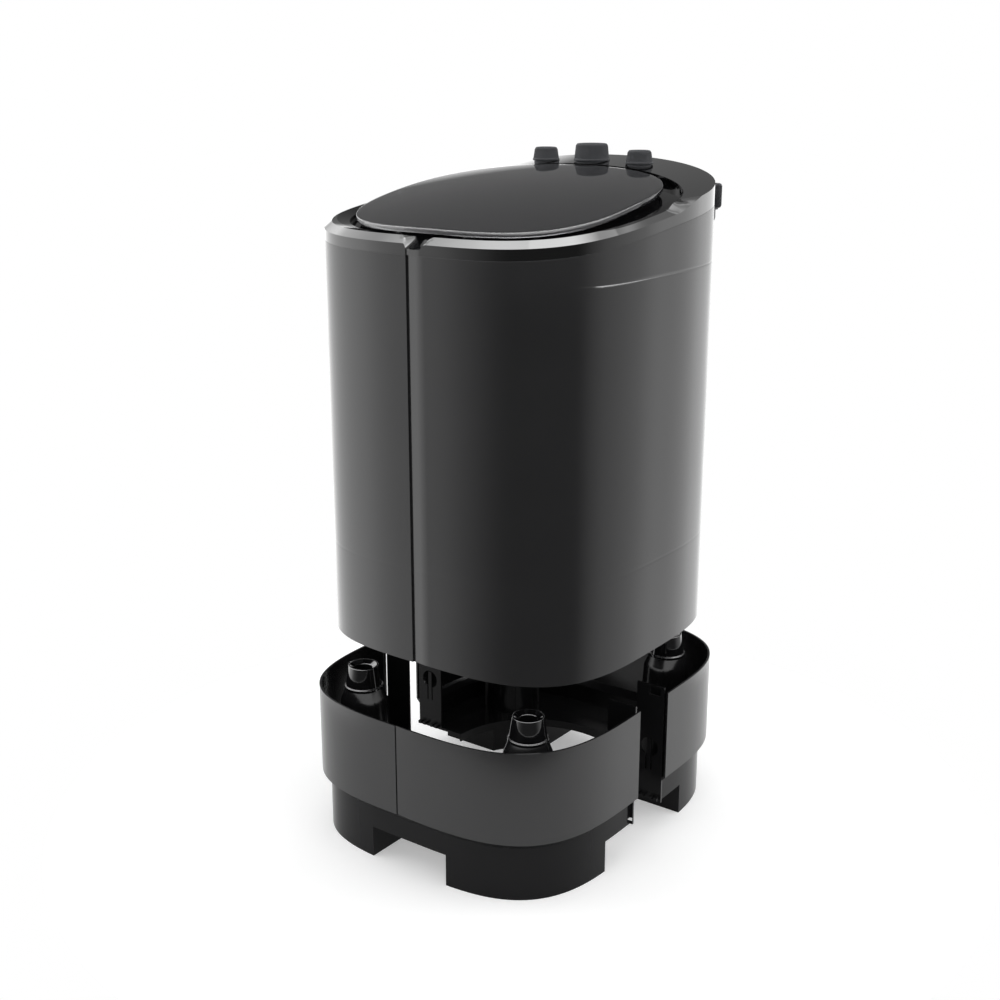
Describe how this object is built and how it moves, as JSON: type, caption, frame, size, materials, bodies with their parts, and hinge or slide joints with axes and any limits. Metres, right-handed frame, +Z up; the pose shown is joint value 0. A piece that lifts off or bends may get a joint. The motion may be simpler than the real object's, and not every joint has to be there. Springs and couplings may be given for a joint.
{
  "type": "semi-automatic washing machine",
  "caption": "Tall top-loading washer with a domed top, smoked lid and rear knobs, its cabinet raised over a base split in two halves with posts and feet.",
  "frame": {"origin": "on the floor under the middle of the machine as it is shown, taken apart", "axes": "+Z up, +X to the right seen from the front, the front faces -Y"},
  "size_m": [0.52, 0.612, 1.0819],
  "materials": {
    "base_black": "satin",
    "cap_black": "high gloss",
    "cabinet_black": "satin gloss",
    "frame_gloss": "high gloss",
    "lid_smoke": "smoked, clear, polished",
    "knob_grey": "satin",
    "tub_grey": "satin",
    "impeller_grey": "satin",
    "filter_white": "satin",
    "pulley_plastic": "matt",
    "control_cream": "matt",
    "capacitor_white": "satin",
    "fitting_black": "satin",
    "hose_grey": "matt",
    "black_rubber": "matt",
    "belt_rubber": "matt, woven back",
    "cast_aluminium": "cast",
    "zinc_sheet": "zinc plated",
    "screw_steel": "zinc plated",
    "bearing_steel": "ground",
    "motor_paint": "satin"
  },
  "bodies": {
    "base_rear": {"base_rear": "base_black", "rear_post_caps": "cap_black"},
    "base_front": {"base_front": "base_black", "front_post_caps": "cap_black"},
    "cabinet": {"cabinet_shell": "cabinet_black", "top_collar": "cabinet_black", "collar_screws": "screw_steel", "top_frame": "frame_gloss", "tub": "tub_grey", "tub_screws": "screw_steel", "filter_bracket": "tub_grey", "bearing_housing": "cast_aluminium", "housing_screws": "screw_steel", "shaft_bearings": "bearing_steel", "shaft_seal": "black_rubber", "drive_belt": "belt_rubber", "motor_bracket": "zinc_sheet", "bracket_screws": "screw_steel", "motor_mounts": "black_rubber", "motor": "motor_paint", "capacitor": "capacitor_white", "capacitor_clip": "zinc_sheet", "drain_elbow": "fitting_black", "drain_hose": "hose_grey", "drain_outlet": "fitting_black", "hose_clips": "screw_steel", "timer": "control_cream", "timer_screws": "screw_steel", "left_switch": "control_cream", "right_switch": "control_cream", "hinge_pins": "bearing_steel", "water_inlet": "fitting_black", "cable_gland": "black_rubber"},
    "lid": {"lid": "lid_smoke"},
    "timer_knob": {"timer_knob": "knob_grey"},
    "left_knob": {"left_knob": "knob_grey"},
    "right_knob": {"right_knob": "knob_grey"},
    "impeller": {"impeller": "impeller_grey", "impeller_screw": "screw_steel", "impeller_shaft": "bearing_steel", "drive_pulley": "pulley_plastic", "pulley_nut": "screw_steel"},
    "motor_rotor": {"motor_shaft": "bearing_steel", "motor_pulley": "cast_aluminium"},
    "lint_filter": {"lint_filter": "filter_white"},
    "inlet_nut": {"inlet_nut": "knob_grey"}
  },
  "joints": [
    {"name": "cabinet_lowering", "type": "slide", "parent": "base_rear", "child": "cabinet", "axis": [0, 0.1747, -0.9846], "range_m": [0, 0.2404]},
    {"name": "base_front_closing", "type": "slide", "parent": "base_rear", "child": "base_front", "axis": [0, 1, 0], "range_m": [0, 0.084]},
    {"name": "lid_hinge", "type": "hinge", "parent": "cabinet", "child": "lid", "pos_m": [0, 0.152, 1.04046], "axis": [-1, 0, 0], "range_deg": [0, 100]},
    {"name": "timer_knob_turn", "type": "hinge", "parent": "cabinet", "child": "timer_knob", "pos_m": [0, 0.194, 1.0525], "axis": [0, 0, -1], "range_deg": [0, 300]},
    {"name": "left_knob_turn", "type": "hinge", "parent": "cabinet", "child": "left_knob", "pos_m": [-0.089, 0.194, 1.05039], "axis": [0, 0, -1], "range_deg": [-60, 60]},
    {"name": "right_knob_turn", "type": "hinge", "parent": "cabinet", "child": "right_knob", "pos_m": [0.089, 0.194, 1.05039], "axis": [0, 0, -1], "range_deg": [-60, 60]},
    {"name": "impeller_spin", "type": "hinge", "parent": "cabinet", "child": "impeller", "pos_m": [0, 0, 0.536], "axis": [0, 0, 1], "continuous": true},
    {"name": "motor_spin", "type": "hinge", "parent": "cabinet", "child": "motor_rotor", "pos_m": [0, 0.146, 0.396], "axis": [0, 0, 1], "continuous": true},
    {"name": "filter_lift", "type": "slide", "parent": "cabinet", "child": "lint_filter", "axis": [0, 0, 1], "range_m": [0, 0.12]},
    {"name": "inlet_nut_turn", "type": "hinge", "parent": "cabinet", "child": "inlet_nut", "pos_m": [0.167, 0.28188, 0.983], "axis": [0, 0, 1], "continuous": true}
  ],
  "couplings": [
    {"joint": "base_front_closing", "follows": "cabinet_lowering", "ratio": 0.34942},
    {"joint": "motor_spin", "follows": "impeller_spin", "ratio": 4.25}
  ]
}
